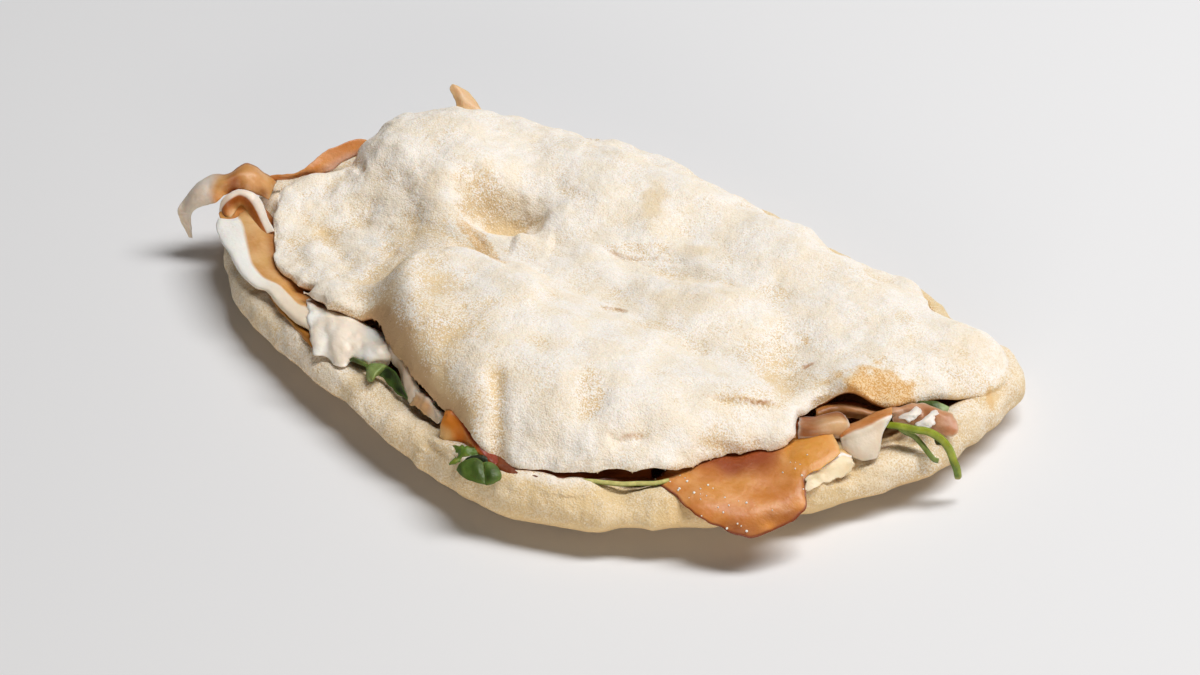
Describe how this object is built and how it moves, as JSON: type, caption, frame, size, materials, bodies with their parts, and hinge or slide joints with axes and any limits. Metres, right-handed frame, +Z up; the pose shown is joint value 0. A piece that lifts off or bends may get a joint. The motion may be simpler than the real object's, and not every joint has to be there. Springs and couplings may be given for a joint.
{
  "type": "smoked pork wrap",
  "caption": "Flour-dusted puffed flatbread, split along its front into a pocket and filled with slices of smoked ham and rocket.",
  "frame": {"origin": "middle of the bounding box, at the level of the flat underside that it rests on", "axes": "+X along the bread towards its whole tip, +Y towards its back, away from the slit that the picture shows, +Z up"},
  "size_m": [0.2836, 0.1764, 0.038],
  "materials": {
    "crust": "pale baked crust dusted with flour, toasted in places",
    "ham": "moist smoked ham, orange brown, slightly translucent",
    "fat": "waxy translucent rind of fat",
    "leaf": "fresh dark green leaf with a soft sheen",
    "stem": "fresh bright green stem with a soft sheen"
  },
  "bodies": {
    "root": {"flatbread": "crust", "ham_slice_left": "ham", "ham_slice_front": "ham", "ham_slice_tongue": "ham", "ham_slice_back": "ham", "ham_roll_inside": "ham", "ham_flap_right": "ham", "ham_loop_left": "ham", "ham_strip_rear_left": "ham", "ham_curl_left": "fat", "ham_fat_fold_left": "fat", "ham_shreds_left": "fat", "ham_fold_right": "fat", "rocket_leaf_left": "leaf", "rocket_leaf_front": "leaf", "rocket_leaf_folded": "stem", "rocket_leaf_inside": "leaf", "rocket_stem_front": "stem", "rocket_stem_right": "stem", "rocket_stem_small": "leaf"}
  },
  "joints": []
}
